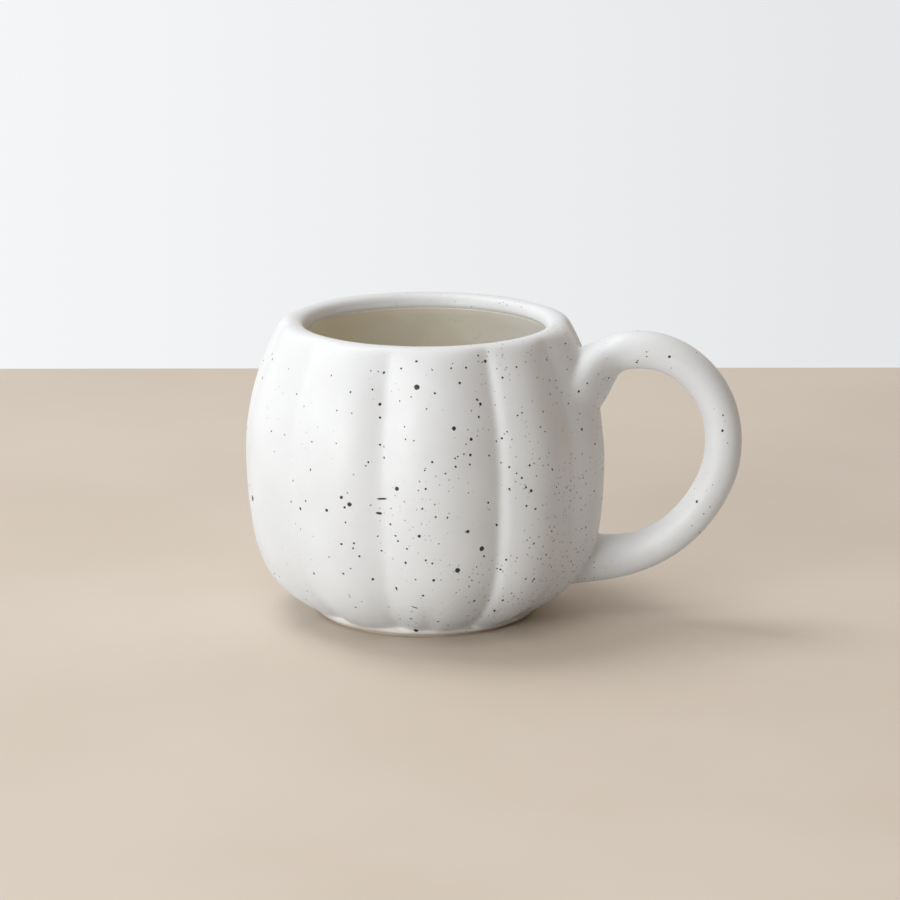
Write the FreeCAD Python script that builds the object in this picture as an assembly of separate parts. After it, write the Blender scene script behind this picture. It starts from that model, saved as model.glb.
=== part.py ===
"""A ribbed, pumpkin-shaped stoneware mug with one loop handle.

The origin is the centre of the foot on the table, +Z is up and +X points out through the handle.
Lengths are millimetres and angles are degrees, anticlockwise from +X seen from above.
"""
import FreeCAD, Part
import math
import os
import random

Vector = FreeCAD.Vector

# Driving dimensions
GLAZE = 0.35                # thickness of every glaze coat
GLAZE_LINE = 0.8            # height above the table where the outer coat stops
LIP_LINE = 87.2             # height inside the mouth where the white coat meets the liner
MOUTH_RADIUS = 36.8
FLOOR_HEIGHT = 6.0          # top of the liner at the middle of the cup
FLAT_FLOOR_RADIUS = 22.0
FOOT_RADIUS = 31.9          # outer edge of the flat face that the mug stands on
FOOT_SIDE_RADIUS = 32.35
FOOT_EDGE_RISE = 0.3        # height of the softened edge of the foot
RECESS_RADIUS = 27.5        # recess under the cup, at the table
RECESS_TOP_RADIUS = 26.8
RECESS_DEPTH = 1.5

# Ribs: creases divide the cup into ten uneven lobes
CREASES = [-166.0, -131.0, -96.0, -56.0, -29.0, 8.0, 45.0, 82.5, 120.0, 157.0]
DEPTH_PER_DEGREE = 0.085     # a crease is this deep for each degree of lobe beside it
CREASE_SOFTNESS = 0.06      # how round a crease is, as a part of the height of its lobe
SHORT_CREASE = -79.5        # a crease that splits the widest lobe only near the foot
SHORT_CREASE_DEPTH = 1.3
SHORT_CREASE_REACH = 3.5    # the short crease fades out over this many degrees on each side

# Outline of the coat outside, from the glaze line up over the rim to the lip line:
# radius, height, share of the rib depth, share of the short crease
OUTSIDE = [
    (FOOT_SIDE_RADIUS + GLAZE, GLAZE_LINE, 0.0, 0.0),
    (33.7, 0.9, 0.0, 0.0),
    (34.0, 1.9, 0.0, 0.0),
    (35.0, 2.6, 0.9, 1.0),
    (38.2, 4.4, 1.0, 1.0),
    (44.8, 9.0, 1.0, 0.8),
    (51.8, 17.0, 1.0, 0.0),
    (55.4, 29.0, 1.0, 0.0),
    (56.2, 43.0, 1.0, 0.0),
    (56.4, 55.5, 1.0, 0.0),
    (54.2, 68.0, 1.0, 0.0),
    (50.6, 78.5, 1.0, 0.0),
    (46.1, 88.2, 0.8, 0.0),
    (43.6, 91.2, 0.25, 0.0),
    (39.5, 91.6, 0.0, 0.0),
    (36.9, 90.5, 0.0, 0.0),
    (MOUTH_RADIUS, LIP_LINE, 0.0, 0.0),
]

# Outline of the liner, from the lip line down to the flat floor
INSIDE = [
    (MOUTH_RADIUS, LIP_LINE, 0.0, 0.0),
    (37.5, 85.8, 0.0, 0.0),
    (40.8, 82.4, 0.0, 0.0),
    (45.0, 77.0, 0.25, 0.0),
    (48.6, 68.0, 0.4, 0.0),
    (51.0, 56.0, 0.5, 0.0),
    (50.9, 43.0, 0.5, 0.0),
    (49.9, 29.5, 0.5, 0.0),
    (46.0, 17.5, 0.4, 0.0),
    (40.0, 10.0, 0.2, 0.0),
    (31.0, 6.6, 0.0, 0.0),
    (FLAT_FLOOR_RADIUS, FLOOR_HEIGHT, 0.0, 0.0),
]

# Sections of the handle in the XZ plane, from the top root round to the bottom root:
# centre x, centre z, lean of the section from upright, half its thickness, half its width along Y
HANDLE_SECTIONS = [
    (44.0, 70.8, 5.0, 10.7, 20.5),
    (50.0, 73.0, 5.0, 11.3, 17.8),
    (54.0, 76.4, 5.0, 9.8, 12.4),
    (57.0, 80.1, 5.0, 7.4, 8.0),
    (59.6, 83.2, 2.0, 5.8, 6.3),
    (63.5, 83.9, 0.0, 5.75, 5.8),
    (69.6, 84.0, -9.0, 5.7, 5.7),
    (76.4, 82.0, -28.0, 5.6, 5.7),
    (82.5, 77.9, -43.0, 5.6, 5.7),
    (87.5, 71.9, -58.0, 5.6, 5.7),
    (90.6, 64.7, -75.0, 5.6, 5.7),
    (91.7, 56.5, -90.0, 5.6, 5.7),
    (90.8, 48.2, -105.0, 5.6, 5.7),
    (87.6, 40.2, -120.0, 5.6, 5.7),
    (82.3, 32.3, -131.0, 5.6, 5.7),
    (75.5, 25.6, -143.0, 5.7, 5.8),
    (67.6, 21.2, -157.0, 5.9, 6.0),
    (59.5, 18.9, -168.0, 6.6, 6.5),
    (52.5, 18.3, -175.0, 7.3, 7.9),
    (42.0, 18.2, -178.0, 8.8, 10.2),
]

# Each slip joint ends on a plane that leans like the cup's side: x and z of a point on it, and its lean
UPPER_JOINT = (52.4, 75.5, 17.0)
LOWER_JOINT = (51.9, 16.6, -26.0)
JOINT_REACH = 17.0          # half the length of a joint plane, more than half the height of a root
JOINT_WIDTH = 50.0          # width of a joint plane, more than the width of a root
CUP_REACH = 30.0            # a joint block reaches this far back into the cup

# Iron specks on the outer coat: azimuth, height, radius
SPECK_RISE = 0.15           # height of a speck above the coat
SPECKS = [
    (-84.0, 81.0, 0.95),
    (-72.0, 69.5, 0.7),
    (-105.0, 46.0, 0.75),
    (-90.0, 51.5, 0.75),
    (-68.0, 38.5, 0.6),
    (-63.0, 32.5, 0.9),
    (-71.0, 26.5, 0.9),
    (-97.0, 75.5, 0.55),
    (-66.5, 66.0, 0.55),
    (-67.0, 61.5, 0.5),
    (-62.0, 75.5, 0.55),
    (-57.5, 86.5, 0.55),
    (-69.0, 84.0, 0.45),
    (-124.0, 42.0, 0.55),
    (-112.5, 43.5, 0.55),
    (-107.5, 48.0, 0.55),
    (-47.0, 49.0, 0.55),
    (-83.0, 37.5, 0.55),
    (-78.5, 23.5, 0.5),
    (-99.0, 22.5, 0.5),
    (-63.5, 15.0, 0.5),
    (-52.0, 14.0, 0.45),
    (-43.0, 20.5, 0.45),
    (-20.5, 63.0, 0.5),
]

# More specks, scattered over the side of the cup that faces away from the listed ones
SCATTERED = 24
SCATTER_AZIMUTHS = (20.0, 220.0)
SCATTER_HEIGHTS = (14.0, 82.0)
SCATTER_RADII = (0.45, 0.8)
SCATTER_SEED = 5

# Smoothness of the curved surfaces
POLES_ROUND_CUP = 160
POLES_ROUND_HANDLE = 24
DEGREE = 3
TOLERANCE = 0.001
SEARCH_STEPS = 24
SIDE_PART = 0.8             # the part of the outside surface, counted from the foot, that is the cup's side


def crease_shape(azimuth):
    """Depth of the ribs at an azimuth, in millimetres: most at a crease, none on top of a lobe."""
    for index, start in enumerate(CREASES):
        end = CREASES[(index + 1) % len(CREASES)]
        width = (end - start) % 360.0
        along = (azimuth - start) % 360.0
        if along < width:
            arch = math.sin(math.pi * along / width)
            rise = math.hypot(arch, CREASE_SOFTNESS) - CREASE_SOFTNESS
            full_rise = math.hypot(1.0, CREASE_SOFTNESS) - CREASE_SOFTNESS
            return DEPTH_PER_DEGREE * width * (1.0 - rise / full_rise)
    return 0.0


def short_crease_shape(azimuth):
    """Depth of the short crease near the foot at an azimuth, in millimetres."""
    away = (azimuth - SHORT_CREASE + 180.0) % 360.0 - 180.0
    return SHORT_CREASE_DEPTH * math.exp(-(away / SHORT_CREASE_REACH) ** 2)


def ring(radius, height, rib_share=0.0, short_share=0.0):
    """Poles of one closed curve round the cup."""
    poles = []
    for step in range(POLES_ROUND_CUP):
        azimuth = 360.0 * step / POLES_ROUND_CUP
        depth = rib_share * crease_shape(azimuth) + short_share * short_crease_shape(azimuth)
        angle = math.radians(azimuth)
        poles.append(Vector((radius - depth) * math.cos(angle), (radius - depth) * math.sin(angle), height))
    return poles


def moved_inward(outline, distance, ends_on_floor=False):
    """The same outline, moved into the clay by a distance.

    Its ends move level, or straight down where it ends on the floor, to stay on the flat faces there.
    """
    moved = []
    last = len(outline) - 1
    for index, (radius, height, rib_share, short_share) in enumerate(outline):
        before = outline[max(index - 1, 0)]
        after = outline[min(index + 1, last)]
        along_r = after[0] - before[0]
        along_z = after[1] - before[1]
        length = math.hypot(along_r, along_z)
        shift_r = -along_z / length
        shift_z = along_r / length
        if index == last and ends_on_floor:
            shift_r, shift_z = 0.0, -1.0
        elif index in (0, last):
            shift_r, shift_z = math.copysign(1.0, shift_r), 0.0
        moved.append((radius + distance * shift_r, height + distance * shift_z, rib_share, short_share))
    return moved


def surface(rows):
    """A smooth surface through closed rows of poles, periodic round each row."""
    around = len(rows[0])
    degree = min(DEGREE, len(rows) - 1)
    spans = len(rows) - degree
    poles = [[row[index] for row in rows] for index in range(around)]
    knots_around = [float(index) for index in range(around + 1)]
    knots_along = [float(index) for index in range(spans + 1)]
    result = Part.BSplineSurface()
    result.buildFromPolesMultsKnots(
        poles,
        [1] * (around + 1),
        [degree + 1] + [1] * (spans - 1) + [degree + 1],
        knots_around,
        knots_along,
        True,
        False,
        DEGREE,
        degree,
    )
    return result


def end_wire(side, at_start):
    """The closed curve where a surface starts or ends."""
    first, last = side.bounds()[2:]
    return Part.Wire([side.vIso(first if at_start else last).toShape()])


def flat_face(*wires):
    """A flat face inside one wire, or between two."""
    return Part.makeFace(list(wires), "Part::FaceMakerBullseye")


def solid_from(faces):
    """One closed solid sewn from faces that share their edges."""
    shell = Part.makeShell(faces)
    shell.sewShape(TOLERANCE)
    solid = Part.makeSolid(shell)
    if solid.Volume < 0.0:
        solid.reverse()
    return solid


def capped(side):
    """A solid closed by a flat face at each end of one surface."""
    return solid_from([side.toShape(), flat_face(end_wire(side, True)), flat_face(end_wire(side, False))])


def coat_between(skin, clay, *caps):
    """A thin solid between two surfaces, closed by flat faces."""
    return solid_from([skin.toShape(), clay.toShape()] + list(caps))


def handle_tube(inset):
    """The handle as one solid tube that runs on into the cup at both roots."""
    step = math.radians(360.0 / POLES_ROUND_HANDLE)
    outward = 3.0 / (2.0 + math.cos(step))
    rows = []
    for x, z, lean, half_thickness, half_width in HANDLE_SECTIONS:
        lean_angle = math.radians(lean)
        upward = Vector(-math.sin(lean_angle), 0.0, math.cos(lean_angle))
        row = []
        for index in range(POLES_ROUND_HANDLE):
            thick = (half_thickness - inset) * outward * math.cos(index * step)
            wide = (half_width - inset) * outward * math.sin(index * step)
            row.append(Vector(x, 0.0, z) + upward * thick + Vector(0.0, wide, 0.0))
        rows.append(row)
    return capped(surface(rows))


def joint_block(joint):
    """A block that covers a root of the handle from the cup's inside out to the joint plane."""
    x, z, lean = joint
    block = Part.makeBox(CUP_REACH, JOINT_WIDTH, 2.0 * JOINT_REACH,
                         Vector(-CUP_REACH, -JOINT_WIDTH / 2.0, -JOINT_REACH))
    block.rotate(Vector(0.0, 0.0, 0.0), Vector(0.0, 1.0, 0.0), -lean)
    block.translate(Vector(x, 0.0, z))
    return block


def point_on(side, azimuth, height):
    """Parameters of the point of the outside surface at an azimuth and a height."""
    around = azimuth / 360.0 * POLES_ROUND_CUP
    low, high = side.bounds()[2:]
    high = low + (high - low) * SIDE_PART
    for _ in range(SEARCH_STEPS):
        along = (low + high) / 2.0
        place = side.value(around % POLES_ROUND_CUP, along)
        turn = math.degrees(math.atan2(place.y, place.x))
        around += ((azimuth - turn + 180.0) % 360.0 - 180.0) / 360.0 * POLES_ROUND_CUP
        if place.z < height:
            low = along
        else:
            high = along
    return around % POLES_ROUND_CUP, along


def speck(side, azimuth, height, radius):
    """One grain: a low round disc that stands on the outer coat."""
    around, along = point_on(side, azimuth, height)
    place = side.value(around, along)
    normal = side.normal(around, along)
    if normal.dot(Vector(place.x, place.y, 0.0)) < 0.0:
        normal = normal * -1.0
    return Part.makeCylinder(radius, SPECK_RISE, place, normal)


def scattered_specks():
    """Azimuth, height and radius of the specks that are scattered at random, the same in every run."""
    draw = random.Random(SCATTER_SEED)
    return [(draw.uniform(*SCATTER_AZIMUTHS), draw.uniform(*SCATTER_HEIGHTS), draw.uniform(*SCATTER_RADII))
            for _ in range(SCATTERED)]


# Surfaces of the cup: the coats outside and inside, and the clay under each
skin_outside = surface([ring(*point) for point in OUTSIDE])
skin_inside = surface([ring(*point) for point in INSIDE])
clay_outside = surface([ring(*point) for point in moved_inward(OUTSIDE, GLAZE)])
clay_inside = surface([ring(*point) for point in moved_inward(INSIDE, GLAZE, ends_on_floor=True)])
foot_side = surface([
    ring(FOOT_RADIUS, 0.0),
    ring(FOOT_SIDE_RADIUS, FOOT_EDGE_RISE),
    ring(FOOT_SIDE_RADIUS, GLAZE_LINE),
])

# Cup body: clay wall, floor and foot ring, bare below the glaze line
recess = Part.makeCone(RECESS_RADIUS, RECESS_TOP_RADIUS, RECESS_DEPTH)
cup_body = solid_from([
    foot_side.toShape(),
    clay_outside.toShape(),
    clay_inside.toShape(),
    flat_face(end_wire(foot_side, True)),
    flat_face(end_wire(clay_inside, False)),
]).cut(recess)

# Filled shapes of the cup, used only to cut what stands on it
filled_clay = capped(clay_outside)
filled_skin = capped(skin_outside)

# Handle, and the slip that joins its two roots to the cup
tube_clay = handle_tube(GLAZE)
tube_outside_cup = tube_clay.cut(filled_clay)
upper_block = joint_block(UPPER_JOINT)
lower_block = joint_block(LOWER_JOINT)
handle = tube_outside_cup.cut(upper_block).cut(lower_block)
upper_joint_slip = tube_outside_cup.common(upper_block)
lower_joint_slip = tube_outside_cup.common(lower_block)

# Outer glaze: one coat over the outside, the rim, the slip and the handle
outer_glaze = filled_skin.fuse(handle_tube(0.0)).cut(filled_clay).cut(tube_clay)

# Liner glaze: the coat inside, from the lip line down over the floor
liner_glaze = coat_between(
    skin_inside,
    clay_inside,
    flat_face(end_wire(skin_inside, True), end_wire(clay_inside, True)),
    flat_face(end_wire(skin_inside, False)),
    flat_face(end_wire(clay_inside, False)),
)

# Base glaze: the coat on the ceiling of the recess under the foot
taper = (RECESS_TOP_RADIUS - RECESS_RADIUS) / RECESS_DEPTH
base_glaze = Part.makeCone(RECESS_TOP_RADIUS - taper * GLAZE, RECESS_TOP_RADIUS, GLAZE,
                           Vector(0.0, 0.0, RECESS_DEPTH - GLAZE))

# Iron specks: low round grains that stand on the outer coat
iron_specks = Part.makeCompound([
    speck(skin_outside, *place) for place in SPECKS + scattered_specks()
])

NODES = {
    "cup_body": cup_body,
    "handle": handle,
    "upper_joint_slip": upper_joint_slip,
    "lower_joint_slip": lower_joint_slip,
    "outer_glaze": outer_glaze,
    "liner_glaze": liner_glaze,
    "base_glaze": base_glaze,
    "iron_specks": iron_specks,
}

os.makedirs("parts", exist_ok=True)
for name, shape in NODES.items():
    shape.exportStep("parts/" + name + ".step")
    print(name, "solids", len(shape.Solids), "valid", shape.isValid(), "volume", round(shape.Volume, 1))
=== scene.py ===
"""Looks of the ribbed pumpkin mug: its coats of glaze, its specks, its bare foot, and a plain studio."""
import math
import random

import bmesh
import bpy
import numpy as np
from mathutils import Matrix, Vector, noise
from mathutils.bvhtree import BVHTree


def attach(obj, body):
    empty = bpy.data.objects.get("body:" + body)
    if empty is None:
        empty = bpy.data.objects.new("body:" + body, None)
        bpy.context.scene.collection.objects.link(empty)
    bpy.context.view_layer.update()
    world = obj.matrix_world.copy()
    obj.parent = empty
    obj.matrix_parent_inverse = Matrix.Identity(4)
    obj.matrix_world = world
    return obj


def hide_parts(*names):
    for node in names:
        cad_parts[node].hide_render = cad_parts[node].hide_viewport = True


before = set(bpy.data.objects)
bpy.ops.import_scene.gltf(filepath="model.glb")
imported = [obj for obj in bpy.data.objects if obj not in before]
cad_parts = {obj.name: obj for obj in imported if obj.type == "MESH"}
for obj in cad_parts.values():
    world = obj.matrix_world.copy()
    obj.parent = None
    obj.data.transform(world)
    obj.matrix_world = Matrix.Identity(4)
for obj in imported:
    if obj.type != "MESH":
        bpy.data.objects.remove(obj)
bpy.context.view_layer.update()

# Shape, in millimetres and degrees, as in the part's source
MM = 0.001
GLAZE = 0.35
GLAZE_LINE = 0.8
LIP_LINE = 87.2
MOUTH_RADIUS = 36.8
FLOOR_HEIGHT = 6.0
FLAT_FLOOR_RADIUS = 22.0
FOOT_SIDE_RADIUS = 32.35
CREASES = [-166.0, -131.0, -96.0, -56.0, -29.0, 8.0, 45.0, 82.5, 120.0, 157.0]
DEPTH_PER_DEGREE = 0.085
CREASE_SOFTNESS = 0.06
SHORT_CREASE = -79.5
SHORT_CREASE_DEPTH = 1.3
SHORT_CREASE_REACH = 3.5
POLES_ROUND_CUP = 160
DEGREE = 3                  # of every curve and surface

# radius, height, share of the rib depth, share of the short crease
OUTSIDE = [
    (FOOT_SIDE_RADIUS + GLAZE, GLAZE_LINE, 0.0, 0.0),
    (33.7, 0.9, 0.0, 0.0),
    (34.0, 1.9, 0.0, 0.0),
    (35.0, 2.6, 0.9, 1.0),
    (38.2, 4.4, 1.0, 1.0),
    (44.8, 9.0, 1.0, 0.8),
    (51.8, 17.0, 1.0, 0.0),
    (55.4, 29.0, 1.0, 0.0),
    (56.2, 43.0, 1.0, 0.0),
    (56.4, 55.5, 1.0, 0.0),
    (54.2, 68.0, 1.0, 0.0),
    (50.6, 78.5, 1.0, 0.0),
    (46.1, 88.2, 0.8, 0.0),
    (43.6, 91.2, 0.25, 0.0),
    (39.5, 91.6, 0.0, 0.0),
    (36.9, 90.5, 0.0, 0.0),
    (MOUTH_RADIUS, LIP_LINE, 0.0, 0.0),
]
INSIDE = [
    (MOUTH_RADIUS, LIP_LINE, 0.0, 0.0),
    (37.5, 85.8, 0.0, 0.0),
    (40.8, 82.4, 0.0, 0.0),
    (45.0, 77.0, 0.25, 0.0),
    (48.6, 68.0, 0.4, 0.0),
    (51.0, 56.0, 0.5, 0.0),
    (50.9, 43.0, 0.5, 0.0),
    (49.9, 29.5, 0.5, 0.0),
    (46.0, 17.5, 0.4, 0.0),
    (40.0, 10.0, 0.2, 0.0),
    (31.0, 6.6, 0.0, 0.0),
    (FLAT_FLOOR_RADIUS, FLOOR_HEIGHT, 0.0, 0.0),
]
# centre x, centre z, lean, half thickness, half width
HANDLE_SECTIONS = [
    (44.0, 70.8, 5.0, 10.7, 20.5),
    (50.0, 73.0, 5.0, 11.3, 17.8),
    (54.0, 76.4, 5.0, 9.8, 12.4),
    (57.0, 80.1, 5.0, 7.4, 8.0),
    (59.6, 83.2, 2.0, 5.8, 6.3),
    (63.5, 83.9, 0.0, 5.75, 5.8),
    (69.6, 84.0, -9.0, 5.7, 5.7),
    (76.4, 82.0, -28.0, 5.6, 5.7),
    (82.5, 77.9, -43.0, 5.6, 5.7),
    (87.5, 71.9, -58.0, 5.6, 5.7),
    (90.6, 64.7, -75.0, 5.6, 5.7),
    (91.7, 56.5, -90.0, 5.6, 5.7),
    (90.8, 48.2, -105.0, 5.6, 5.7),
    (87.6, 40.2, -120.0, 5.6, 5.7),
    (82.3, 32.3, -131.0, 5.6, 5.7),
    (75.5, 25.6, -143.0, 5.7, 5.8),
    (67.6, 21.2, -157.0, 5.9, 6.0),
    (59.5, 18.9, -168.0, 6.6, 6.5),
    (52.5, 18.3, -175.0, 7.3, 7.9),
    (42.0, 18.2, -178.0, 8.8, 10.2),
]

# Meshes
CUP_ROWS_PER_SPAN = 7
COLUMN_CROWDING = 0.45      # how much closer the columns of the cup's mesh are beside a crease
HANDLE_ROWS_PER_SPAN = 9
HANDLE_SIDES = 72
LINER_ROWS_PER_SPAN = 7
LINER_STEP = 1.5
LINER_FLOOR_RINGS = 10
BASE_STEP = 2.0
BASE_OUTLINE = [(26.75, 0.75), (26.6, 1.0), (26.2, 1.13), (25.5, 1.16), (20.0, 1.15), (10.0, 1.16),
                (1.0, 1.15)]
CAP_SIDES = 60              # a face with more corners than this is the end of a closed shape
COAT_SKIN = 0.33            # thickness of the coats
HAND_WOBBLE = 0.10          # unevenness of clay made by hand
WOBBLE_LENGTH = 17.0
WOBBLE_FADE = 6.0
WOBBLE_SHIFT = (7.1, 3.3, 5.7)

# Where the handle meets the cup
FILLET = 1.1                # how far the glaze and slip round the corner
ZONE_START = 36.0           # the corner lies beyond this x, within this half width,
ZONE_WIDTH = 26.0
ZONE_REACH = 3.6            # and this near to both surfaces
SLIVER = 0.3                # points closer than this are merged there
EVENING_ROUNDS = 8
FIELD_STEPS = 3
SLOPE_STEP = 0.05
PROFILE_SAMPLES = 900
PROFILE_TOP = 91.0

# Grains of iron: azimuth, height and radius of the larger ones on the side towards the camera
FRONT_SPECKS = [
    (-84.0, 81.0, 0.95), (-72.0, 69.5, 0.72), (-105.0, 46.0, 0.75), (-90.0, 51.5, 0.75),
    (-68.0, 38.5, 0.62), (-63.0, 32.5, 0.90), (-71.0, 26.5, 0.90), (-97.0, 75.5, 0.55),
    (-66.5, 66.0, 0.55), (-67.0, 61.5, 0.48), (-62.0, 75.5, 0.55), (-57.5, 87.0, 0.55),
    (-66.0, 86.0, 0.40), (-69.0, 82.0, 0.46), (-124.0, 42.0, 0.55), (-112.5, 43.5, 0.55),
    (-107.5, 48.0, 0.55), (-47.0, 49.0, 0.55), (-61.0, 46.5, 0.40), (-83.0, 37.5, 0.55),
    (-79.0, 60.0, 0.40), (-78.5, 23.5, 0.50), (-99.0, 22.5, 0.48), (-86.0, 2.6, 0.85),
    (-87.0, 8.5, 0.48), (-76.0, 7.5, 0.45), (-63.5, 15.0, 0.48), (-52.0, 14.0, 0.45),
    (-36.0, 11.0, 0.45), (-43.0, 20.5, 0.42), (-121.0, 45.0, 0.36), (-96.0, 64.0, 0.36),
    (-82.0, 46.0, 0.36), (-81.0, 52.0, 0.40), (-78.0, 43.5, 0.36), (-79.0, 29.0, 0.36),
    (-81.0, 30.0, 0.36), (-108.0, 33.5, 0.40), (-104.0, 34.0, 0.36), (-62.0, 30.0, 0.40),
    (-54.0, 28.0, 0.40), (-57.5, 39.0, 0.40), (-48.5, 44.5, 0.40), (-20.5, 63.0, 0.50),
    (-106.5, 45.0, 0.42),
]
# The same with length over width and turn, for grains that ran
STREAKS = [
    (-95.0, 48.0, 0.34, 5.0, 4.0),
    (-96.0, 43.5, 0.46, 2.3, -5.0),
    (-150.5, 40.0, 1.0, 1.0, 0.0),
    (-85.0, 13.5, 0.28, 4.2, -25.0),
]
# Scattered grains: how many, azimuths, heights, their radius, and how much longer than wide they get.
# A radius is its least value, how much more it may be, and the power that keeps large ones rare.
SPECK_SEED = 41
SCATTERED_SPECKS = [
    (46, (0.0, 215.0), (6.0, 88.0), (0.30, 0.55, 3), 0.4),
    (190, (0.0, 360.0), (4.0, 90.0), (0.19, 0.2, 2), 0.5),
    (110, (-110.0, 10.0), (4.0, 90.0), (0.19, 0.2, 2), 0.5),
]
HANDLE_SPECKS = 34
HANDLE_SPECK_RADIUS = (0.16, 0.30, 2)
HANDLE_SPECK_STRETCH = 0.4
HANDLE_SAMPLES = 200        # points along the middle of the handle,
HANDLE_BARE_ENDS = (45, 165)    # of which those between these two may carry a grain
FINGER_GAP_MIDDLE = (70.0, 52.0)
CUP_RAY_START = 0.09        # metres from the axis at which the search for the coat starts,
ROOT_RAY_START = 0.062      # where the handle is in the way,
ROOT_AZIMUTH = 14.0         # which it is up to this azimuth,
HANDLE_RAY_START = 0.009    # and from the middle of the handle
GRAIN_SIDES = 12
GRAIN_UNEVENNESS = 0.16
GRAIN_RISE = 0.06
GRAIN_RINGS = ((0.5, 0.05), (0.85, 0.025), (1.0, -0.05))    # share of the radius, and rise
NEARLY_UPRIGHT = 0.9

# Colours
WHITE_PALE = (0.812, 0.817, 0.823, 1.0)
WHITE_DEEP = (0.772, 0.776, 0.780, 1.0)
WHITE_WARM = (0.79, 0.775, 0.745, 1.0)
CLAY_GLOW = (0.66, 0.56, 0.45, 1.0)
SPECK_SOFT = (0.15, 0.13, 0.115, 1.0)
SPECK_DARK = (0.07, 0.06, 0.055, 1.0)
CREAM_PALE = (0.88, 0.85, 0.76, 1.0)
CREAM_DEEP = (0.84, 0.79, 0.68, 1.0)
# deeper cream where the glaze pooled on the floor; also painted shade in a band just under the lip
CREAM_POOL_AND_LIP_SHADE = (0.77, 0.70, 0.55, 1.0)
# paler cream on the handle's side: partly the glaze's own colour, partly painted light on the lit inner
# wall
CREAM_PALER_AND_LIT = (0.94, 0.935, 0.92, 1.0)
# warmer, darker cream on the side away from the handle: partly the glaze's own colour, partly painted shade
CREAM_WARMER_AND_SHADED = (0.86, 0.78, 0.60, 1.0)
CLAY_PALE = (0.66, 0.58, 0.48, 1.0)
CLAY_DEEP = (0.58, 0.49, 0.39, 1.0)
CLAY_SAND = (0.74, 0.68, 0.60, 1.0)
IRON_BLACK = (0.018, 0.016, 0.016, 1.0)
IRON_BROWN = (0.055, 0.042, 0.034, 1.0)
TABLE_PALE = (0.70, 0.61, 0.52, 1.0)
TABLE_DEEP = (0.66, 0.57, 0.475, 1.0)
TABLE_BOUNCE = (0.63, 0.595, 0.55, 1.0)

# Materials. A noise is its length in millimetres and its detail. A span is from, to, start and end.
# Painted grains are the size of their cells, the share of the cells that hold one, and the largest radius.
# A bump is its strength, and its height in millimetres.
WHITE_MOTTLE = (22.0, 4.0)
WHITE_MOTTLE_SPAN = (0.35, 0.7)
WHITE_CLOUD = (6.0, 3.0)
WHITE_CLOUD_SPAN = (0.45, 0.8, 0.0, 0.35)
WHITE_FOOT_SPAN = (GLAZE_LINE * MM, (GLAZE_LINE + 2.4) * MM, 0.7, 0.0)
CROWDING = (26.0, 2.0)
CROWDING_SPAN = (0.36, 0.64, 0.25, 1.0)
FEWER_ON_THE_LEFT = (-30.0 * MM, 45.0 * MM, 0.35, 1.0)
FEWER_ON_THE_HANDLE = (56.0 * MM, 62.0 * MM, 1.0, 0.35)
FINE_GRAINS = (1.3, 1.0, 0.50)
FINE_STRENGTH = 0.75
SMALL_GRAINS = (3.6, 0.50, 0.46)
SMALL_STRENGTH = 0.85
WHITE_SHEEN_NOISE = (9.0, 3.0)
WHITE_ROUGHNESS = (0.3, 0.7, 0.42, 0.52)
WHITE_IOR = 1.5
ORANGE_PEEL = (2.6, 2.0)
ORANGE_PEEL_SHARE = 0.8
SKIN_GRAIN = (0.35, 2.0)
SKIN_GRAIN_SHARE = 0.12
WHITE_BUMP = (0.35, 0.06)
CREAM_MOTTLE = (14.0, 4.0)
CREAM_MOTTLE_SPAN = (0.35, 0.7)
CREAM_POOL_SPAN = (5.0 * MM, 26.0 * MM, 0.5, 0.0)
# partly painted shade: the inside darker and warmer away from the handle
CREAM_WARMER_AND_SHADED_SPAN = (-38.0 * MM, -4.0 * MM, 0.8, 0.0)
# partly painted light: the inside paler towards the handle
CREAM_PALER_AND_LIT_SPAN = (2.0 * MM, 34.0 * MM, 0.0, 0.95)
# painted shade: a darker band in the liner just under the lip line
CREAM_LIP_SHADE_SPAN = ((LIP_LINE - 1.6) * MM, LIP_LINE * MM, 0.0, 0.45)
CREAM_GRAINS = (5.0, 0.06, 0.3)
CREAM_GRAIN_SPREAD = (0.3, 0.7, 0.4, 1.0)
CREAM_GRAIN_STRENGTH = 0.5
CREAM_ROUGHNESS = (0.3, 0.7, 0.26, 0.36)
CREAM_RELIEF = (3.0, 2.0)
CREAM_BUMP = (0.3, 0.06)
CLAY_MOTTLE = (5.0, 4.0)
CLAY_MOTTLE_SPAN = (0.3, 0.7)
CLAY_GRIT = (0.5, 3.0, 0.7)         # with the roughness of the noise
CLAY_GRIT_SPAN = (0.52, 0.75, 0.0, 0.6)
CLAY_GROG = (1.4, 0.25, 0.25)
CLAY_GROG_SPREAD = (0.2, 0.8, 0.5, 1.0)
CLAY_GROG_STRENGTH = 0.6
CLAY_ROUGHNESS = (0.3, 0.7, 0.78, 0.92)
CLAY_BUMP = (0.6, 0.12)
IRON_MOTTLE = (0.4, 3.0)
IRON_MOTTLE_SPAN = (0.35, 0.7)
IRON_SHEEN_NOISE = (0.6, 2.0)
IRON_ROUGHNESS = (0.3, 0.7, 0.30, 0.5)
GRAIN_LUCK = 0.6            # power below 1: more of the painted grains are near the largest radius
GRAIN_CORE = 0.3            # share of a painted grain's radius that is at full strength
GRAIN_BLUR = 0.0005         # how far its edge fades past its radius, in cells

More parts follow.
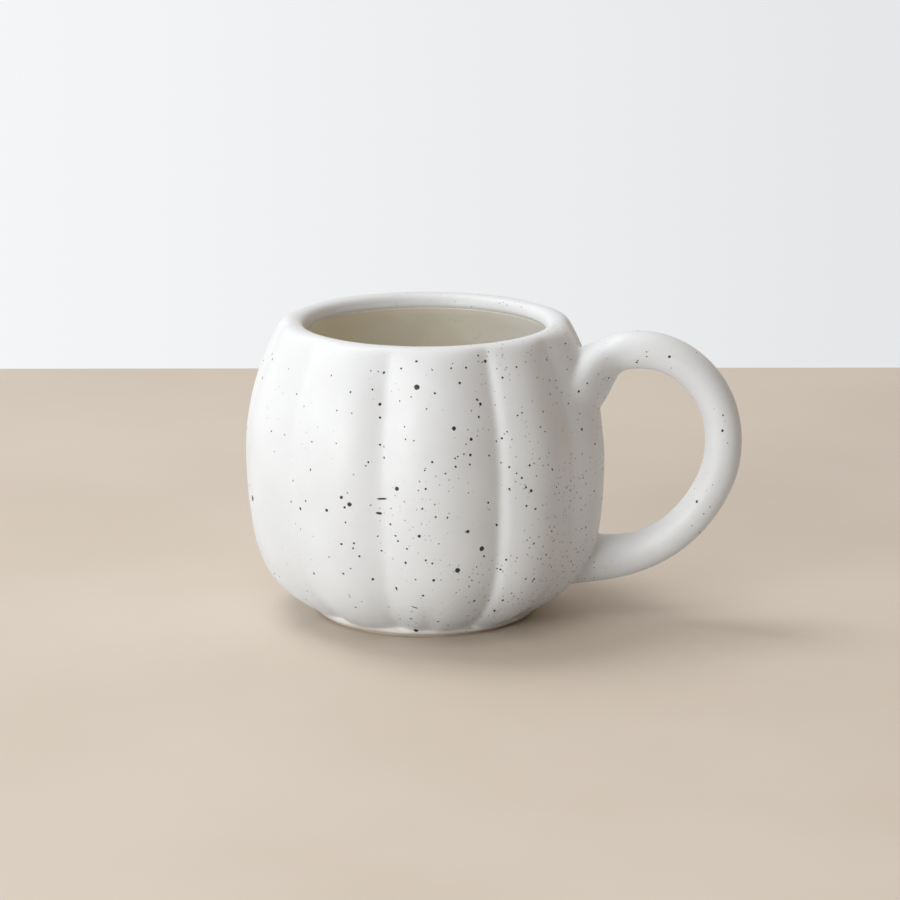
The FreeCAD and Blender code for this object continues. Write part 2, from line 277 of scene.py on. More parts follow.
# Studio, in metres and degrees
CAMERA_TURN = 9.0
CAMERA_RISE = 13.88
CAMERA_DISTANCE = 1.3
LENS = 169.4
SENSOR_WIDTH = 36.0
FAR_CLIP = 20.0
MUG_MIDDLE = (0.0, 0.0, 0.045)
LOOK_AT = (0.0072, 0.0024, 0.0499)
TABLE_SIDE = 1.6
TABLE_FRONT = 1.8
TABLE_BACK = 0.341
TABLE_MOTTLE = (140.0, 3.0)
TABLE_MOTTLE_SPAN = (0.3, 0.7)
TABLE_ROUGHNESS = 0.75
BACKDROP_SPAN = (-0.1, 0.1, 0.93, 0.81)     # brightness of the backdrop from the left to the right
GLOWS = [(99.0, 0.64), (-171.0, 0.54), (9.0, 0.10)]     # azimuth and strength of the glow on each side
GLOW_ABOVE = 0.34
GLOW_PALE = (0.98, 0.99, 1.0, 1.0)
GLOW_WARM = (1.0, 0.72, 0.48, 1.0)
GLOW_WARM_SPAN = (0.2, 0.9)
# Windows: azimuth, elevation and watts
WINDOWS = {
    "window": (-120.0, 12.0, 13.2),
    "skylight": (159.0, 64.0, 9.0),
    "front_skylight": (-96.0, 64.0, 2.2),
}
WINDOW_TINT = (0.975, 0.99, 1.0)
WINDOW_SIDE = 0.7
WINDOW_DISTANCE = 1.6


# ---------------------------------------------------------------- curves and surfaces of the shape

def basis(count, samples):
    """Weights of a clamped uniform cubic B-spline: one row per sample, one column per pole."""
    spans = count - DEGREE
    knots = np.concatenate([np.zeros(DEGREE), np.arange(spans + 1), np.full(DEGREE, spans)]).astype(float)
    where = np.linspace(0.0, spans, samples)
    weights = ((where[:, None] >= knots[:-1]) & (where[:, None] < knots[1:])).astype(float)
    weights[-1, count - 1] = 1.0
    for degree in range(1, DEGREE + 1):
        size = weights.shape[1] - 1
        low = knots[:size]
        high = knots[degree + 1:degree + 1 + size]
        left = knots[degree:degree + size] - low
        right = high - knots[1:size + 1]
        rise = np.divide(where[:, None] - low, left, out=np.zeros((samples, size)), where=left > 0)
        fall = np.divide(high - where[:, None], right, out=np.zeros((samples, size)), where=right > 0)
        weights = rise * weights[:, :size] + fall * weights[:, 1:size + 1]
    return weights


def crease_depth(azimuths):
    """Depth of the ribs at azimuths in degrees, as the part's source works it out."""
    depth = np.zeros_like(azimuths)
    for index, start in enumerate(CREASES):
        width = (CREASES[(index + 1) % len(CREASES)] - start) % 360.0
        along = (azimuths - start) % 360.0
        rise = np.hypot(np.sin(np.pi * along / width), CREASE_SOFTNESS) - CREASE_SOFTNESS
        full_rise = math.hypot(1.0, CREASE_SOFTNESS) - CREASE_SOFTNESS
        depth = np.where(along < width, DEPTH_PER_DEGREE * width * (1.0 - rise / full_rise), depth)
    return depth


def short_crease_depth(azimuths):
    """Depth of the short crease near the foot at azimuths in degrees."""
    away = (azimuths - SHORT_CREASE + 180.0) % 360.0 - 180.0
    return SHORT_CREASE_DEPTH * np.exp(-(away / SHORT_CREASE_REACH) ** 2)


def between_poles(poles, azimuths):
    """Values at azimuths of a smooth closed curve whose evenly spaced poles have the values given."""
    place = azimuths * len(poles) / 360.0
    index = np.floor(place).astype(int)
    f = place - index
    weights = ((1.0 - f) ** 3, 3.0 * f ** 3 - 6.0 * f ** 2 + 4.0,
               -3.0 * f ** 3 + 3.0 * f ** 2 + 3.0 * f + 1.0, f ** 3)
    return sum(weight * poles[(index + step - 1) % len(poles)] for step, weight in enumerate(weights)) / 6.0


def crease_shape(azimuths):
    """Depth of the ribs on the part's own surfaces, whose poles round off each crease a little."""
    return between_poles(crease_depth(np.arange(POLES_ROUND_CUP) * 360.0 / POLES_ROUND_CUP), azimuths)


def short_crease_shape(azimuths):
    """Depth of the short crease on the part's own surfaces."""
    return between_poles(short_crease_depth(np.arange(POLES_ROUND_CUP) * 360.0 / POLES_ROUND_CUP), azimuths)


def columns_round_cup():
    """Azimuths of the columns of the cup's mesh: about a degree apart, and closer beside a crease."""
    azimuths = []
    for index, start in enumerate(CREASES):
        width = (CREASES[(index + 1) % len(CREASES)] - start) % 360.0
        share = np.arange(round(width)) / round(width)
        share -= COLUMN_CROWDING * np.sin(2.0 * np.pi * share) / (2.0 * np.pi)
        azimuths.append(start + width * share)
    return np.concatenate(azimuths)


def cup_surface(outline, rows_per_span, azimuths):
    """Points of a ribbed surface round the cup: rows x azimuths x 3."""
    rows = (len(outline) - DEGREE) * rows_per_span + 1
    radius, height, rib_share, short_share = (basis(len(outline), rows) @ np.array(outline)).T[:, :, None]
    radii = radius - rib_share * crease_shape(azimuths) - short_share * short_crease_shape(azimuths)
    angles = np.radians(azimuths)
    return np.stack([radii * np.cos(angles), radii * np.sin(angles), height + 0.0 * radii], axis=-1)


def flat_rings(radii_and_heights, azimuths):
    """Points of plain round rings: radii x azimuths x 3."""
    radii, heights = np.array(radii_and_heights).T[:, :, None]
    angles = np.radians(azimuths)
    return np.stack([radii * np.cos(angles), radii * np.sin(angles), heights + 0.0 * angles], axis=-1)


def handle_surface(rows_per_span, sides):
    """Points of the handle's tube, which runs on into the cup at both roots: rows x sides x 3."""
    rows = (len(HANDLE_SECTIONS) - DEGREE) * rows_per_span + 1
    x, z, lean, half_thickness, half_width = (basis(len(HANDLE_SECTIONS), rows)
                                              @ np.array(HANDLE_SECTIONS)).T[:, :, None]
    turn = np.arange(sides) * 2.0 * np.pi / sides
    lean = np.radians(lean)
    thick = half_thickness * np.cos(turn)
    return np.stack([x - np.sin(lean) * thick, half_width * np.sin(turn) + 0.0 * x,
                     z + np.cos(lean) * thick], axis=-1)


def grid_mesh(name, points, close_start=False, close_end=False, flip=False):
    """A mesh of rings of points, in millimetres, that is closed round each ring.

    Its faces look outward if the rings turn anticlockwise as seen from the end that they run to.
    """
    rings, around = points.shape[:2]
    vertices = [tuple(p) for p in points.reshape(-1, 3) * MM]
    faces = []
    for ring in range(rings - 1):
        for step in range(around):
            after = (step + 1) % around
            faces.append((ring * around + step, ring * around + after,
                          (ring + 1) * around + after, (ring + 1) * around + step))
    if close_start:
        faces.append(tuple(reversed(range(around))))
    if close_end:
        faces.append(tuple(range((rings - 1) * around, rings * around)))
    if flip:
        faces = [tuple(reversed(face)) for face in faces]
    mesh = bpy.data.meshes.new(name)
    mesh.from_pydata(vertices, [], faces)
    return mesh


def piece_from(mesh, material=None):
    """A smooth-shaded object of a mesh, in the scene."""
    piece = bpy.data.objects.new(mesh.name, mesh)
    bpy.context.scene.collection.objects.link(piece)
    mesh.polygons.foreach_set("use_smooth", [True] * len(mesh.polygons))
    if material:
        mesh.materials.append(material)
    return piece


def points_of(mesh):
    """The mesh's points in millimetres."""
    flat = np.empty(len(mesh.vertices) * 3)
    mesh.vertices.foreach_get("co", flat)
    return flat.reshape(-1, 3) / MM


def normals_of(mesh):
    """The mesh's unit normals at its points."""
    flat = np.empty(len(mesh.vertices) * 3)
    mesh.vertex_normals.foreach_get("vector", flat)
    return flat.reshape(-1, 3)


def set_points(mesh, points):
    """Moves the mesh's points, given in millimetres."""
    mesh.vertices.foreach_set("co", (points * MM).ravel())
    mesh.update()


def wobble(points):
    """Smooth noise of about -1 to 1 at points."""
    shift = Vector(WOBBLE_SHIFT)
    return np.array([noise.noise(Vector(p) / WOBBLE_LENGTH + shift) for p in points])


def apply_modifiers(piece):
    """Replaces the piece's mesh by what its modifiers make of it."""
    graph = bpy.context.evaluated_depsgraph_get()
    mesh = bpy.data.meshes.new_from_object(piece.evaluated_get(graph))
    piece.modifiers.clear()
    piece.data = mesh
    mesh.polygons.foreach_set("use_smooth", [True] * len(mesh.polygons))


def thicken(piece):
    """Gives a skin the thickness of a coat, on the side away from its normals."""
    solidify = piece.modifiers.new("thickness", "SOLIDIFY")
    solidify.thickness = COAT_SKIN * MM
    solidify.offset = -1.0
    apply_modifiers(piece)


# ---------------------------------------------------------------- the outer coat

def side_field(points, profile):
    """Height of points above the ribbed side of the cup, and the direction in which it grows."""
    radius = np.hypot(points[:, 0], points[:, 1])
    azimuths = np.degrees(np.arctan2(points[:, 1], points[:, 0]))
    ribs = crease_shape(azimuths)
    rib_slope = (crease_shape(azimuths + SLOPE_STEP) - crease_shape(azimuths - SLOPE_STEP)) \
        / math.radians(2.0 * SLOPE_STEP)
    smooth_radius = radius
    for _ in range(FIELD_STEPS):
        apart = (smooth_radius[:, None] - profile[:, 0]) ** 2 + (points[:, 2, None] - profile[:, 1]) ** 2
        nearest = np.argmin(apart, axis=1)
        rib_share = profile[nearest, 2]
        smooth_radius = radius + rib_share * ribs
    run = np.gradient(profile[:, :2], axis=0)
    out_r, out_z = (np.stack([run[:, 1], -run[:, 0]], axis=1) / np.hypot(*run.T)[:, None])[nearest].T
    height = (smooth_radius - profile[nearest, 0]) * out_r + (points[:, 2] - profile[nearest, 1]) * out_z
    around = out_r * rib_share * rib_slope / radius
    cos = points[:, 0] / radius
    sin = points[:, 1] / radius
    direction = np.stack([out_r * cos - around * sin, out_r * sin + around * cos, out_z], axis=1)
    return height, direction


def tube_field(points, tree):
    """Height of points above the handle's tube, and the direction in which it grows."""
    height = np.empty(len(points))
    direction = np.empty((len(points), 3))
    for index, point in enumerate(points):
        place, normal, _, distance = tree.find_nearest(Vector(point) * MM)
        side = 1.0 if (Vector(point) * MM - place).dot(normal) > 0.0 else -1.0
        height[index] = side * distance / MM
        direction[index] = normal
    return height, direction


def on_fillet(points, profile, tree):
    """Moves points onto the surface of the cup and the tube with a fillet between them."""
    for _ in range(FIELD_STEPS):
        height, direction = side_field(points, profile)
        tube_height, tube_direction = tube_field(points, tree)
        overlap = np.maximum(FILLET - np.abs(height - tube_height), 0.0) / FILLET
        on_cup = np.where(height < tube_height, 1.0 - overlap / 2.0, overlap / 2.0)[:, None]
        lowest = np.minimum(height, tube_height) - overlap ** 2 * FILLET / 4.0
        direction = on_cup * direction + (1.0 - on_cup) * tube_direction
        points = points - (lowest / (direction ** 2).sum(axis=1))[:, None] * direction
    return points


def round_the_joints(mesh, tree):
    """Evens out the faces where the handle meets the cup, and lays them on a fillet."""
    profile = basis(len(OUTSIDE), PROFILE_SAMPLES) @ np.array(OUTSIDE)
    profile = profile[profile[:, 1] < PROFILE_TOP]
    profile = profile[:np.argmax(profile[:, 1])]

    def joint_zone(points):
        near = np.flatnonzero((points[:, 0] > ZONE_START) & (np.abs(points[:, 1]) < ZONE_WIDTH))
        above_cup = side_field(points[near], profile)[0]
        above_tube = tube_field(points[near], tree)[0]
        return near[(above_cup < ZONE_REACH) & (above_tube < ZONE_REACH)]

    shape = bmesh.new()
    shape.from_mesh(mesh)
    shape.verts.ensure_lookup_table()
    zone = [shape.verts[index] for index in joint_zone(points_of(mesh))]
    bmesh.ops.remove_doubles(shape, verts=zone, dist=SLIVER * MM)
    zone_faces = {face for vertex in zone if vertex.is_valid for face in vertex.link_faces}
    bmesh.ops.triangulate(shape, faces=list(zone_faces))
    shape.to_mesh(mesh)
    shape.free()

    points = points_of(mesh)
    edges = np.empty(len(mesh.edges) * 2, dtype=int)
    mesh.edges.foreach_get("vertices", edges)
    first, second = edges.reshape(-1, 2).T
    zone = joint_zone(points)
    for _ in range(EVENING_ROUNDS):
        total = np.zeros_like(points)
        count = np.zeros(len(points))
        for here, there in ((first, second), (second, first)):
            np.add.at(total, here, points[there])
            np.add.at(count, here, 1.0)
        middle = total[zone] / count[zone, None]
        points[zone] = on_fillet((points[zone] + middle) / 2.0, profile, tree)
    set_points(mesh, points)


def outer_coat(material):
    """The white coat over the outside, the rim and the handle, as one skin with a closed thickness."""
    cup_points = cup_surface(OUTSIDE, CUP_ROWS_PER_SPAN, columns_round_cup())
    tube_points = handle_surface(HANDLE_ROWS_PER_SPAN, HANDLE_SIDES)
    piece = piece_from(grid_mesh("white_coat", cup_points, True, True), material)
    tube = piece_from(grid_mesh("tube", tube_points, True, True, flip=True), material)
    union = piece.modifiers.new("union", "BOOLEAN")
    union.operation = "UNION"
    union.solver = "EXACT"
    union.object = tube
    apply_modifiers(piece)
    bpy.data.objects.remove(tube)
    mesh = piece.data
    shape = bmesh.new()
    shape.from_mesh(mesh)
    caps = [face for face in shape.faces if len(face.verts) > CAP_SIDES]
    bmesh.ops.delete(shape, geom=caps, context="FACES")
    shape.to_mesh(mesh)
    shape.free()

    open_tube = grid_mesh("open_tube", tube_points, flip=True)
    tree = BVHTree.FromPolygons([v.co for v in open_tube.vertices],
                                [tuple(p.vertices) for p in open_tube.polygons])
    round_the_joints(mesh, tree)
    points = points_of(mesh)
    fade = np.clip((points[:, 2] - GLAZE_LINE) / WOBBLE_FADE, 0.0, 1.0)
    bumps = HAND_WOBBLE * fade * wobble(points)
    inside_mouth = np.clip((np.hypot(points[:, 0], points[:, 1]) - MOUTH_RADIUS) / WOBBLE_FADE, 0.0, 1.0)
    set_points(mesh, points + normals_of(mesh) * (bumps * inside_mouth)[:, None])
    skin_tree = BVHTree.FromPolygons([v.co for v in mesh.vertices],
                                     [tuple(p.vertices) for p in mesh.polygons])
    thicken(piece)
    return piece, skin_tree


# ---------------------------------------------------------------- liner and base

def liner_coat(material):
    """The cream coat inside: wall and floor, with its top edge level with the lip line."""
    azimuths = np.arange(0.0, 360.0, LINER_STEP)
    wall = cup_surface(INSIDE, LINER_ROWS_PER_SPAN, azimuths)
    floor_radius, floor_height = INSIDE[-1][:2]
    floor_radii = np.linspace(floor_radius, 0.0, LINER_FLOOR_RINGS + 2)[1:-1]
    floor = flat_rings([(radius, floor_height) for radius in floor_radii], azimuths)
    piece = piece_from(grid_mesh("cream_liner", np.concatenate([wall, floor]), False, True), material)
    thicken(piece)
    return piece


def base_coat(material):
    """The coat on the ceiling of the recess under the foot, a little thicker in its corner."""
    azimuths = np.arange(0.0, 360.0, BASE_STEP)
    piece = piece_from(grid_mesh("base_coat", flat_rings(BASE_OUTLINE, azimuths), False, True), material)
    thicken(piece)
    return piece


# ---------------------------------------------------------------- materials

def new_material(name):
    """A material with its shader, its node tree and a texture coordinate that moves with the piece."""
    material = bpy.data.materials.new(name)
    material.use_nodes = True
    tree = material.node_tree
    shader = tree.nodes["Principled BSDF"]
    place = tree.nodes.new("ShaderNodeTexCoord").outputs["Object"]
    return material, tree, shader, place


def node(tree, kind, inputs=None, **settings):
    """A new node with some of its properties set and some of its inputs set or linked."""
    made = tree.nodes.new("ShaderNode" + kind)
    for key, value in settings.items():
        setattr(made, key, value)
    for key, value in (inputs or {}).items():
        if isinstance(value, bpy.types.NodeSocket):
            tree.links.new(value, made.inputs[key])
        else:
            made.inputs[key].default_value = value
    return made


def noise_of(tree, place, length, detail=3.0, roughness=0.5):
    """Noise of 0 to 1 with features of a length in millimetres."""
    return node(tree, "TexNoise", {"Vector": place, "Scale": 1.0 / (length * MM), "Detail": detail,
                                   "Roughness": roughness}).outputs["Fac"]


def math_of(tree, operation, first, second=0.0, clamp=False):
    """The result of one sum on two numbers or sockets."""
    return node(tree, "Math", {0: first, 1: second}, operation=operation, use_clamp=clamp).outputs[0]


def ramp(tree, value, low, high, start=0.0, end=1.0, smooth=True):
    """A value moved from the span low..high to start..end."""
    kind = "SMOOTHSTEP" if smooth else "LINEAR"
    return node(tree, "MapRange", {"Value": value, "From Min": low, "From Max": high, "To Min": start,
                                   "To Max": end}, interpolation_type=kind).outputs["Result"]


def mixed(tree, share, first, second):
    """One colour over another by a share."""
    return node(tree, "Mix", {0: share, 6: first, 7: second}, data_type="RGBA").outputs[2]


def speck_mask(tree, place, grains, spread):
    """Where small round grains lie: cells of a size in millimetres, a share of them with a grain."""
    cell, share, radius = grains
    cells = node(tree, "TexVoronoi", {"Vector": place, "Scale": 1.0 / (cell * MM), "Randomness": 1.0},
                 feature="F1")
    chance = node(tree, "SeparateColor", {0: cells.outputs["Color"]}).outputs[0]
    crowd = math_of(tree, "MULTIPLY", spread, share)
    above = math_of(tree, "SUBTRACT", chance, math_of(tree, "SUBTRACT", 1.0, crowd), clamp=True)
    luck = math_of(tree, "POWER", math_of(tree, "DIVIDE", above, share), GRAIN_LUCK)
    size = math_of(tree, "MULTIPLY", luck, radius / cell)
    inner = math_of(tree, "MULTIPLY", size, GRAIN_CORE)
    outer = math_of(tree, "ADD", size, GRAIN_BLUR)
    return node(tree, "MapRange", {"Value": cells.outputs["Distance"], "From Min": inner, "From Max": outer,
                                   "To Min": 1.0, "To Max": 0.0},
                interpolation_type="SMOOTHSTEP").outputs["Result"]


def add_bump(tree, shader, height, bump):
    """Gives a shader a relief."""
    strength, rise = bump
    made = node(tree, "Bump", {"Height": height, "Strength": strength, "Distance": rise * MM})
    tree.links.new(made.outputs[0], shader.inputs["Normal"])


def white_glaze():
    """White satin glaze, faintly mottled, with fine iron grains and a warm edge where it is thin."""
    material, tree, shader, place = new_material("speckled_white_glaze")
    axes = node(tree, "SeparateXYZ", {0: place}).outputs
    mottle = noise_of(tree, place, *WHITE_MOTTLE)
    cloud = noise_of(tree, place, *WHITE_CLOUD)
    tone = mixed(tree, ramp(tree, mottle, *WHITE_MOTTLE_SPAN), WHITE_PALE, WHITE_DEEP)
    tone = mixed(tree, ramp(tree, cloud, *WHITE_CLOUD_SPAN), tone, WHITE_WARM)
    tone = mixed(tree, ramp(tree, axes[2], *WHITE_FOOT_SPAN), tone, CLAY_GLOW)
    crowd = ramp(tree, noise_of(tree, place, *CROWDING), *CROWDING_SPAN)
    side = ramp(tree, axes[0], *FEWER_ON_THE_LEFT)
    off_handle = ramp(tree, axes[0], *FEWER_ON_THE_HANDLE)
    spread = math_of(tree, "MULTIPLY", crowd, math_of(tree, "MULTIPLY", side, off_handle))
    fine = speck_mask(tree, place, FINE_GRAINS, spread)
    small = speck_mask(tree, place, SMALL_GRAINS, crowd)
    tone = mixed(tree, math_of(tree, "MULTIPLY", fine, FINE_STRENGTH), tone, SPECK_SOFT)
    tone = mixed(tree, math_of(tree, "MULTIPLY", small, SMALL_STRENGTH), tone, SPECK_DARK)
    tree.links.new(tone, shader.inputs["Base Color"])
    rough = ramp(tree, noise_of(tree, place, *WHITE_SHEEN_NOISE), *WHITE_ROUGHNESS)
    tree.links.new(rough, shader.inputs["Roughness"])
    shader.inputs["IOR"].default_value = WHITE_IOR
    orange_peel = noise_of(tree, place, *ORANGE_PEEL)
    grain = noise_of(tree, place, *SKIN_GRAIN)
    relief = math_of(tree, "ADD", math_of(tree, "MULTIPLY", orange_peel, ORANGE_PEEL_SHARE),
                     math_of(tree, "MULTIPLY", grain, SKIN_GRAIN_SHARE))
    add_bump(tree, shader, relief, WHITE_BUMP)
    return material


def cream_glaze():
    """Cream liner glaze, a little glossier, deeper where it pooled on the floor, paler by the handle partly
    as painted light.
    """
    material, tree, shader, place = new_material("cream_liner_glaze")
    axes = node(tree, "SeparateXYZ", {0: place}).outputs
    mottle = noise_of(tree, place, *CREAM_MOTTLE)
    tone = mixed(tree, ramp(tree, mottle, *CREAM_MOTTLE_SPAN), CREAM_PALE, CREAM_DEEP)
    tone = mixed(tree, ramp(tree, axes[2], *CREAM_POOL_SPAN), tone, CREAM_POOL_AND_LIP_SHADE)
    # partly painted shade: darker and warmer away from the handle
    tone = mixed(tree, ramp(tree, axes[0], *CREAM_WARMER_AND_SHADED_SPAN), tone, CREAM_WARMER_AND_SHADED)
    # partly painted light: paler towards the handle
    tone = mixed(tree, ramp(tree, axes[0], *CREAM_PALER_AND_LIT_SPAN), tone, CREAM_PALER_AND_LIT)
    # painted shade just under the lip
    tone = mixed(tree, ramp(tree, axes[2], *CREAM_LIP_SHADE_SPAN), tone, CREAM_POOL_AND_LIP_SHADE)
    few = speck_mask(tree, place, CREAM_GRAINS, ramp(tree, mottle, *CREAM_GRAIN_SPREAD))
    tone = mixed(tree, math_of(tree, "MULTIPLY", few, CREAM_GRAIN_STRENGTH), tone, SPECK_SOFT)
    tree.links.new(tone, shader.inputs["Base Color"])
    tree.links.new(ramp(tree, mottle, *CREAM_ROUGHNESS), shader.inputs["Roughness"])
    add_bump(tree, shader, noise_of(tree, place, *CREAM_RELIEF), CREAM_BUMP)
    return material


def bare_clay():
    """Fired stoneware with no glaze: warm, matte and sandy."""
    material, tree, shader, place = new_material("fired_clay")
    mottle = noise_of(tree, place, *CLAY_MOTTLE)
    grit = noise_of(tree, place, *CLAY_GRIT)
    tone = mixed(tree, ramp(tree, mottle, *CLAY_MOTTLE_SPAN), CLAY_PALE, CLAY_DEEP)
    tone = mixed(tree, ramp(tree, grit, *CLAY_GRIT_SPAN), tone, CLAY_SAND)
    grog = speck_mask(tree, place, CLAY_GROG, ramp(tree, mottle, *CLAY_GROG_SPREAD))
    tone = mixed(tree, math_of(tree, "MULTIPLY", grog, CLAY_GROG_STRENGTH), tone, SPECK_SOFT)
    tree.links.new(tone, shader.inputs["Base Color"])
    tree.links.new(ramp(tree, grit, *CLAY_ROUGHNESS), shader.inputs["Roughness"])
    add_bump(tree, shader, grit, CLAY_BUMP)
    return material


def iron():
    """Melted iron grains: nearly black, with browner patches."""
    material, tree, shader, place = new_material("melted_iron")
    mottle = noise_of(tree, place, *IRON_MOTTLE)
    tone = mixed(tree, ramp(tree, mottle, *IRON_MOTTLE_SPAN), IRON_BLACK, IRON_BROWN)
    tree.links.new(tone, shader.inputs["Base Color"])
    rough = ramp(tree, noise_of(tree, place, *IRON_SHEEN_NOISE), *IRON_ROUGHNESS)
    tree.links.new(rough, shader.inputs["Roughness"])
    return material


# ---------------------------------------------------------------- specks

def random_radius(draw, radius):
    """A radius drawn from its least value, how much more it may be, and a power."""
    least, more, power = radius
    return least + more * draw.random() ** power


def speck_list():
    """Azimuth, height, radius, length over width and turn of every grain on the cup."""
    draw = random.Random(SPECK_SEED)
    grains = [(azimuth, height, radius, 1.0, 0.0) for azimuth, height, radius in FRONT_SPECKS]
    grains += STREAKS
    for count, azimuths, heights, radius, stretch in SCATTERED_SPECKS:
        for _ in range(count):
            size = random_radius(draw, radius)
            grains.append((draw.uniform(*azimuths), draw.uniform(*heights), size,
                           1.0 + stretch * draw.random(), draw.uniform(0.0, 180.0)))
    return grains


def grain_points(start, aim, radius, stretch, turn, skin, draw):
    """Points of one low lens that lies on the coat where a ray from start along aim meets it."""
    place, normal, _, _ = skin.ray_cast(start, aim)
    if place is None:
        return None
    upright = Vector((0.0, 0.0, 1.0)) if abs(normal.z) < NEARLY_UPRIGHT else Vector((1.0, 0.0, 0.0))
    across = upright.cross(normal).normalized()
    along = normal.cross(across)
    turn = math.radians(turn)
    outline = [1.0 + GRAIN_UNEVENNESS * (draw.random() - 0.5) for _ in range(GRAIN_SIDES)]
    points = [place + normal * GRAIN_RISE * MM]
    for share, rise in GRAIN_RINGS:
        for side in range(GRAIN_SIDES):
            angle = 2.0 * math.pi * side / GRAIN_SIDES
            reach = radius * MM * share * outline[side]
            east = reach * stretch * math.cos(angle)
            north = reach * math.sin(angle)
            east, north = (east * math.cos(turn) - north * math.sin(turn),
                           east * math.sin(turn) + north * math.cos(turn))
            near, near_normal, _, _ = skin.find_nearest(place + across * east + along * north)
            points.append(near + near_normal * rise * MM)
    return points


def iron_grains(skin, material):
    """Every larger grain, as low lenses with a sunk edge, on the cup and on the handle."""
    draw = random.Random(SPECK_SEED + 1)
    vertices = []
    faces = []

    def add(points):
        if points is None:
            return
        first = len(vertices)
        vertices.extend(points)
        for side in range(GRAIN_SIDES):
            after = (side + 1) % GRAIN_SIDES
            faces.append((first, first + 1 + side, first + 1 + after))
            for ring in range(len(GRAIN_RINGS) - 1):
                low = first + 1 + ring * GRAIN_SIDES
                faces.append((low + side, low + GRAIN_SIDES + side, low + GRAIN_SIDES + after, low + after))
        last = first + 1 + (len(GRAIN_RINGS) - 1) * GRAIN_SIDES
        faces.append(tuple(last + side for side in reversed(range(GRAIN_SIDES))))

    for azimuth, height, radius, stretch, turn in speck_list():
        angle = math.radians(azimuth)
        outward = Vector((math.cos(angle), math.sin(angle), 0.0))
        beside_handle = abs((azimuth + 180.0) % 360.0 - 180.0) < ROOT_AZIMUTH
        away = ROOT_RAY_START if beside_handle else CUP_RAY_START
        start = outward * away + Vector((0.0, 0.0, height * MM))
        add(grain_points(start, -outward, radius, stretch, turn, skin, draw))

    middle = basis(len(HANDLE_SECTIONS), HANDLE_SAMPLES) @ np.array(HANDLE_SECTIONS)
    gap_x, gap_z = FINGER_GAP_MIDDLE
    for _ in range(HANDLE_SPECKS):
        x, z = middle[draw.randrange(*HANDLE_BARE_ENDS), :2]
        angle = draw.uniform(0.0, 2.0 * math.pi)
        run = Vector((x - gap_x, 0.0, z - gap_z)).normalized()
        aim = run * math.cos(angle) + Vector((0.0, 1.0, 0.0)) * math.sin(angle)
        start = Vector((x, 0.0, z)) * MM + aim * HANDLE_RAY_START
        radius = random_radius(draw, HANDLE_SPECK_RADIUS)
        stretch = 1.0 + HANDLE_SPECK_STRETCH * draw.random()
        turn = draw.uniform(0.0, 180.0)
        add(grain_points(start, -aim, radius, stretch, turn, skin, draw))

    mesh = bpy.data.meshes.new("iron_grains")
    mesh.from_pydata([tuple(v) for v in vertices], [], faces)
    return piece_from(mesh, material)


# ---------------------------------------------------------------- studio

def area_light(name, azimuth, elevation, watts):
    """A soft square window that looks at the middle of the mug."""
    light = bpy.data.lights.new(name, "AREA")
    light.shape = "SQUARE"
    light.size = WINDOW_SIDE
    light.energy = watts
    light.color = WINDOW_TINT
    holder = bpy.data.objects.new(name, light)
    bpy.context.scene.collection.objects.link(holder)
    across = math.radians(azimuth)
    up = math.radians(elevation)
    away = Vector((math.cos(across) * math.cos(up), math.sin(across) * math.cos(up), math.sin(up)))
    holder.location = Vector(LOOK_AT) + away * WINDOW_DISTANCE
    holder.rotation_euler = away.to_track_quat("Z", "Y").to_euler()


def level_share(tree, axes, azimuth):
    """How far a direction points towards an azimuth: 1 along it, -1 away from it."""
    angle = math.radians(azimuth)
    return math_of(tree, "ADD", math_of(tree, "MULTIPLY", axes[0], math.cos(angle)),
                   math_of(tree, "MULTIPLY", axes[1], math.sin(angle)))


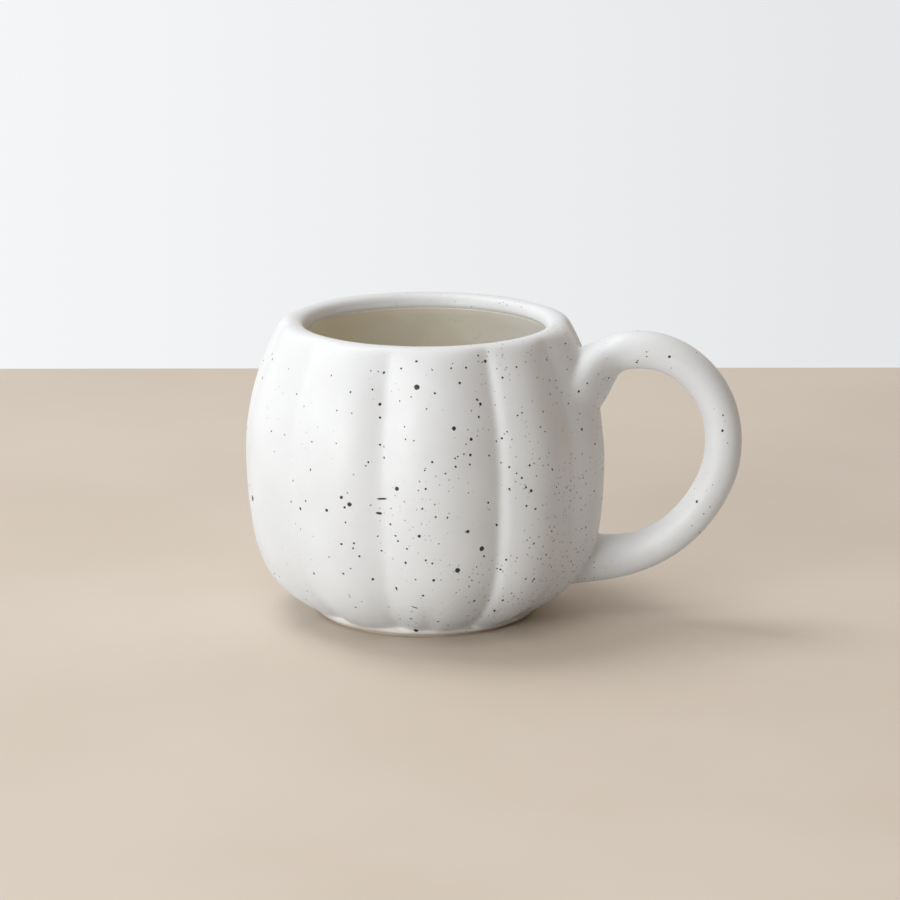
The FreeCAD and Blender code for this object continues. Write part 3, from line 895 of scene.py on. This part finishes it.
def studio():
    """A plain pale table that ends behind the mug, and pale light all round."""
    turn = math.radians(CAMERA_TURN)
    right = Vector((math.cos(turn), math.sin(turn), 0.0))
    back = Vector((-math.sin(turn), math.cos(turn), 0.0))
    corners = [(-TABLE_SIDE, -TABLE_FRONT), (TABLE_SIDE, -TABLE_FRONT),
               (TABLE_SIDE, TABLE_BACK), (-TABLE_SIDE, TABLE_BACK)]
    mesh = bpy.data.meshes.new("table")
    mesh.from_pydata([tuple(right * x + back * y) for x, y in corners], [], [(0, 1, 2, 3)])
    material, tree, shader, place = new_material("table")
    mottle = noise_of(tree, place, *TABLE_MOTTLE)
    tone = mixed(tree, ramp(tree, mottle, *TABLE_MOTTLE_SPAN), TABLE_PALE, TABLE_DEEP)
    seen = node(tree, "LightPath").outputs["Is Camera Ray"]
    tree.links.new(mixed(tree, seen, TABLE_BOUNCE, tone), shader.inputs["Base Color"])
    shader.inputs["Roughness"].default_value = TABLE_ROUGHNESS
    piece_from(mesh, material)

    world = bpy.data.worlds.new("studio")
    bpy.context.scene.world = world
    world.use_nodes = True
    tree = world.node_tree
    backdrop = tree.nodes["Background"]
    direction = node(tree, "TexCoord").outputs["Generated"]
    axes = node(tree, "SeparateXYZ", {0: direction}).outputs
    glow = math_of(tree, "MULTIPLY", math_of(tree, "MAXIMUM", axes[2], 0.0), GLOW_ABOVE)
    for azimuth, strength in GLOWS:
        side = math_of(tree, "MAXIMUM", level_share(tree, axes, azimuth), 0.0)
        glow = math_of(tree, "ADD", math_of(tree, "MULTIPLY", side, strength), glow)
    rightward = level_share(tree, axes, CAMERA_TURN)
    backdrop_glow = ramp(tree, rightward, *BACKDROP_SPAN, smooth=False)
    seen = node(tree, "LightPath").outputs["Is Camera Ray"]
    strength = node(tree, "Mix", {0: seen, 2: glow, 3: backdrop_glow}, data_type="FLOAT").outputs[0]
    tint = mixed(tree, ramp(tree, rightward, *GLOW_WARM_SPAN), GLOW_PALE, GLOW_WARM)
    tree.links.new(tint, backdrop.inputs["Color"])
    tree.links.new(strength, backdrop.inputs["Strength"])

    for name, (azimuth, elevation, watts) in WINDOWS.items():
        area_light(name, azimuth, elevation, watts)


def camera():
    """A long lens at the viewing angle of the picture."""
    turn = math.radians(CAMERA_TURN)
    rise = math.radians(CAMERA_RISE)
    toward = Vector((math.sin(turn) * math.cos(rise), -math.cos(turn) * math.cos(rise), math.sin(rise)))
    lens = bpy.data.cameras.new("camera")
    lens.lens = LENS
    lens.sensor_width = SENSOR_WIDTH
    lens.clip_end = FAR_CLIP
    holder = bpy.data.objects.new("camera", lens)
    bpy.context.scene.collection.objects.link(holder)
    holder.location = Vector(MUG_MIDDLE) + toward * CAMERA_DISTANCE
    away = holder.location - Vector(LOOK_AT)
    holder.rotation_euler = away.to_track_quat("Z", "Y").to_euler()
    bpy.context.scene.camera = holder


# ---------------------------------------------------------------- the mug

glaze = white_glaze()
coat, skin = outer_coat(glaze)
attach(coat, "root")
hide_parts("outer_glaze")

liner = liner_coat(cream_glaze())
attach(liner, "root")
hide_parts("liner_glaze")

base = base_coat(glaze)
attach(base, "root")
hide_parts("base_glaze")

grains = iron_grains(skin, iron())
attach(grains, "root")
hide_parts("iron_specks")

clay = bare_clay()
for name in ("cup_body", "handle", "upper_joint_slip", "lower_joint_slip"):
    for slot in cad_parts[name].material_slots:
        slot.material = clay

studio()
camera()
bpy.context.scene.view_settings.view_transform = "Standard"
